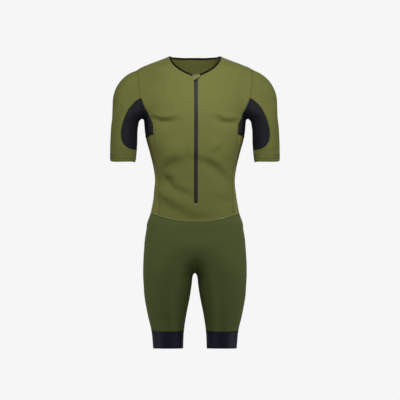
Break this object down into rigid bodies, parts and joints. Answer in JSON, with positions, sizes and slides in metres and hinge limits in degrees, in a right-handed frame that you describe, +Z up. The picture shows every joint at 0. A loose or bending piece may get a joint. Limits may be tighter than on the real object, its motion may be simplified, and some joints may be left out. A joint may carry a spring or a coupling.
{
  "type": "triathlon suit",
  "caption": "One-piece short-sleeved triathlon suit, filled out as worn, with a short front zip, mesh underarms and banded legs.",
  "frame": {"origin": "midway between the two neck side points on the shoulder line, where the wearer carries the suit", "axes": "+Z up, -Y towards the front of the suit, +X towards the wearer's left"},
  "size_m": [0.552, 0.2517, 0.9517],
  "materials": {
    "olive_jersey": "matt fine stretch knit",
    "green_jersey": "matt fine stretch knit",
    "dark_mesh": "open warp-knit mesh",
    "leg_elastic": "woven elastic with a faint sheen",
    "binding_tape": "flat folded elastic",
    "zip_tape": "woven tape with a reversed nylon coil",
    "zip_slider": "black lacquer"
  },
  "bodies": {
    "root": {"front": "olive_jersey", "back": "olive_jersey", "side_panel_left": "olive_jersey", "side_panel_right": "olive_jersey", "underarm_body_left": "dark_mesh", "underarm_body_right": "dark_mesh", "underarm_sleeve_left": "dark_mesh", "underarm_sleeve_right": "dark_mesh", "sleeve_left": "olive_jersey", "sleeve_right": "olive_jersey", "neck_binding": "binding_tape", "zip_tape_left": "zip_tape", "zip_tape_right": "zip_tape", "zip_slider": "zip_slider", "zip_garage": "olive_jersey", "shorts_front": "green_jersey", "shorts_back_left": "green_jersey", "shorts_back_right": "green_jersey", "leg_band_left": "leg_elastic", "leg_band_right": "leg_elastic"}
  },
  "joints": []
}
